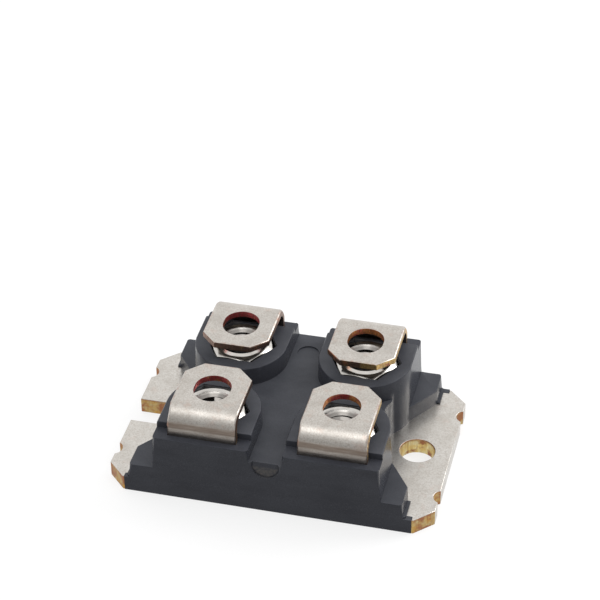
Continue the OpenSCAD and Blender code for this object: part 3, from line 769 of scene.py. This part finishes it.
def cut_with(piece, tool, operation):
    """Joins or cuts a piece with a tool shape, and takes the tool away."""
    apply_modifier(piece, "BOOLEAN", operation=operation, solver="EXACT", object=tool)
    bpy.data.objects.remove(tool)


bpy.ops.object.select_all(action="DESELECT")
bpy.ops.mesh.primitive_cylinder_add(
    vertices=6, radius=NUT_CORNER, depth=NUT_HIGH - NUT_LOW,
    location=(NUT_X, NUT_Y, (NUT_LOW + NUT_HIGH) / 2), rotation=(0, 0, math.radians(30)))
nut = bpy.context.active_object
nut.name = nut.data.name = "nut_set"
bpy.ops.object.transform_apply()
face_radius = NUT_CORNER - NUT_BEVEL
nut_rim = [(face_radius - NUT_EDGE, 0), (face_radius + NUT_EDGE, NUT_EDGE * NUT_SLOPE),
           (NUT_CORNER + NUT_SPARE, (NUT_BEVEL + NUT_SPARE) * NUT_SLOPE)]
cut_with(nut, turned("nut_blank", [(radius, NUT_LOW + inward) for radius, inward in nut_rim]
                     + [(radius, NUT_HIGH - inward) for radius, inward in reversed(nut_rim)]),
         "INTERSECT")
apply_modifier(nut, "BEVEL", width=NUT_EDGE, segments=2, limit_method="ANGLE",
               angle_limit=math.radians(25), use_clamp_overlap=False)
sink_depth = (SINK_RADIUS - THREAD_ROOT) * NUT_SLOPE
cut_with(nut, turned("nut_drill", [
    (SINK_RADIUS + NUT_SPARE, NUT_LOW - NUT_SPARE * NUT_SLOPE), (THREAD_ROOT, NUT_LOW + sink_depth),
    (THREAD_ROOT, NUT_HIGH - sink_depth), (SINK_RADIUS + NUT_SPARE, NUT_HIGH + NUT_SPARE * NUT_SLOPE)]),
    "DIFFERENCE")

bpy.ops.object.select_all(action="DESELECT")
bpy.ops.mesh.primitive_circle_add(
    vertices=3, radius=1, fill_type="NOTHING", location=(0, 0, 0), rotation=(math.pi / 2, 0, 0))
thread = bpy.context.active_object
profile = ((THREAD_CREST, 0), (THREAD_BASE, THREAD_HALF), (THREAD_BASE, -THREAD_HALF))
for v, (out, up) in zip(thread.data.vertices, profile):
    v.co = (out, up, 0)
bpy.ops.object.transform_apply()
apply_modifier(thread, "SCREW", angle=2 * math.pi * THREAD_TURNS, axis="Z",
               screw_offset=THREAD_PITCH * THREAD_TURNS, use_merge_vertices=False,
               steps=THREAD_STEPS, render_steps=THREAD_STEPS)
bpy.ops.object.mode_set(mode="EDIT")
bpy.ops.mesh.select_all(action="SELECT")
bpy.ops.mesh.fill_holes(sides=0)
bpy.ops.mesh.select_all(action="SELECT")
bpy.ops.mesh.normals_make_consistent(inside=False)
bpy.ops.transform.translate(
    value=(NUT_X, NUT_Y, (NUT_LOW + NUT_HIGH) / 2 - THREAD_PITCH * THREAD_TURNS / 2))
bpy.ops.object.mode_set(mode="OBJECT")
cut_with(nut, thread, "UNION")
nut.data.materials.clear()
nut.data.materials.append(nut_nickel)
smooth_rounds(nut, 25)
bpy.ops.object.mode_set(mode="EDIT")
bpy.ops.mesh.select_all(action="SELECT")
bpy.ops.transform.rotate(value=math.radians(NUT_TURN), orient_axis="Z",
                         center_override=(NUT_X, NUT_Y, 0))
bpy.ops.object.mode_set(mode="OBJECT")

others = []
for turn, side_x, side_y in ((60, -1, 1), (120, 1, -1), (180, -1, -1)):
    copy = nut.copy()
    copy.data = nut.data.copy()
    bpy.context.scene.collection.objects.link(copy)
    take_up(copy)
    bpy.ops.object.mode_set(mode="EDIT")
    bpy.ops.mesh.select_all(action="SELECT")
    bpy.ops.transform.rotate(value=math.radians(turn), orient_axis="Z",
                             center_override=(NUT_X, NUT_Y, 0))
    bpy.ops.transform.translate(value=((side_x - 1) * NUT_X, (side_y - 1) * NUT_Y, 0))
    bpy.ops.object.mode_set(mode="OBJECT")
    others.append(copy)
take_up(nut)
for copy in others:
    copy.select_set(True)
bpy.ops.object.join()
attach(nut, "root")
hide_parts("terminal_nuts")


# Floor, light and camera: a plain white table under a broad soft light from above and behind, with the
# room darker on the camera's side, which gives the straps' bends their bands.
CAMERA_PLACE = Vector((0.046897, -0.186213, 0.159383))
CAMERA_AZIMUTH, CAMERA_ELEVATION, CAMERA_ROLL = (math.radians(a) for a in (13.787, 35.762, -0.440))
CAMERA_LENS = 126.506
FLOOR_SIZE = 3
FLOOR_DROP = 0.02 * MM
FLOOR_SHOWN = (0.98, 0.98, 0.98)
FLOOR_BOUNCE = (0.34, 0.34, 0.34)
FLOOR_GLOW = 0.7
LAMP_SIZE = 0.30
LAMP_REACH = 0.5

bpy.ops.object.select_all(action="DESELECT")
bpy.ops.mesh.primitive_plane_add(size=FLOOR_SIZE, location=(0, 0, -FLOOR_DROP))
floor = bpy.context.active_object
floor.name = "floor"

white, tree, shader, place = new_finish("white_floor")
tree.nodes.remove(shader)
seen = tree.nodes.new("ShaderNodeLightPath").outputs
shown = combined(tree, "MAXIMUM", seen["Is Camera Ray"],
                 combined(tree, "MAXIMUM", seen["Is Glossy Ray"], seen["Is Transmission Ray"]))
paper = tree.nodes.new("ShaderNodeBsdfDiffuse")
tree.links.new(mixed(tree, shown, FLOOR_BOUNCE, FLOOR_SHOWN), paper.inputs["Color"])
glow = tree.nodes.new("ShaderNodeEmission")
both = tree.nodes.new("ShaderNodeMixShader")
tree.links.new(combined(tree, "MULTIPLY", shown, FLOOR_GLOW), both.inputs[0])
tree.links.new(paper.outputs[0], both.inputs[1])
tree.links.new(glow.outputs[0], both.inputs[2])
tree.links.new(both.outputs[0], tree.nodes["Material Output"].inputs["Surface"])
floor.data.materials.append(white)

world = bpy.data.worlds.new("studio")
world.use_nodes = True
bpy.context.scene.world = world
tree = world.node_tree
way = axes(tree, tree.nodes.new("ShaderNodeTexCoord").outputs["Generated"])
frontness = combined(tree, "SUBTRACT",
                     combined(tree, "MULTIPLY", way["X"], math.sin(CAMERA_AZIMUTH)),
                     combined(tree, "MULTIPLY", way["Y"], math.cos(CAMERA_AZIMUTH)))


def sky(stops):
    """Brightness by height above the horizon: pairs of sine of the elevation and strength."""
    ramp = tree.nodes.new("ShaderNodeValToRGB")
    elements = ramp.color_ramp.elements
    while len(elements) < len(stops):
        elements.new(0.5)
    for element, (at, strength) in zip(elements, stops):
        element.position = at
        element.color = (strength, strength, strength, 1)
    tree.links.new(way["Z"], ramp.inputs["Fac"])
    return ramp.outputs["Color"]


behind = sky([(0.0, 1.15), (0.25, 1.17), (0.48, 1.15), (0.60, 1.12),
              (0.72, 1.03), (0.85, 0.98), (0.94, 1.10), (1.0, 1.25)])
before = sky([(0.0, 0.20), (0.20, 0.44), (0.40, 0.66), (0.56, 0.74),
              (0.72, 0.94), (0.85, 1.22), (0.94, 1.35), (1.0, 1.25)])
light = mixed(tree, graded(tree, frontness, -0.15, 0.35), behind, before)
seen = tree.nodes.new("ShaderNodeLightPath").outputs
background = tree.nodes["Background"]
tree.links.new(mixed(tree, seen["Is Camera Ray"], light, (1.0, 1.0, 1.0)), background.inputs["Color"])

for name, way_to, power in (("softbox_above", (0.0, -0.36, 1.0), 0.24),
                            ("softbox_right", (0.65, 0.50, 0.57), 0.95)):
    lamp_data = bpy.data.lights.new(name, "AREA")
    lamp_data.shape = "DISK"
    lamp_data.size = LAMP_SIZE
    lamp_data.energy = power
    lamp = bpy.data.objects.new(name, lamp_data)
    lamp_way = Vector(way_to).normalized()
    lamp.location = lamp_way * LAMP_REACH
    lamp.rotation_euler = lamp_way.to_track_quat("Z", "Y").to_euler()
    bpy.context.scene.collection.objects.link(lamp)

camera_data = bpy.data.cameras.new("camera")
camera_data.lens = CAMERA_LENS
camera_data.sensor_width = 36.0
camera_data.clip_start, camera_data.clip_end = 0.01, 10
camera = bpy.data.objects.new("camera", camera_data)
bpy.context.scene.collection.objects.link(camera)
back = Vector((math.sin(CAMERA_AZIMUTH) * math.cos(CAMERA_ELEVATION),
               -math.cos(CAMERA_AZIMUTH) * math.cos(CAMERA_ELEVATION), math.sin(CAMERA_ELEVATION)))
sideways = Vector((math.cos(CAMERA_AZIMUTH), math.sin(CAMERA_AZIMUTH), 0))
upright = back.cross(sideways)
picture_right = math.cos(CAMERA_ROLL) * sideways + math.sin(CAMERA_ROLL) * upright
picture_up = math.cos(CAMERA_ROLL) * upright - math.sin(CAMERA_ROLL) * sideways
camera_turn = Matrix((picture_right, picture_up, back)).transposed().to_4x4()
camera.matrix_world = Matrix.Translation(CAMERA_PLACE) @ camera_turn
bpy.context.scene.camera = camera

bpy.context.scene.view_settings.view_transform = "Standard"
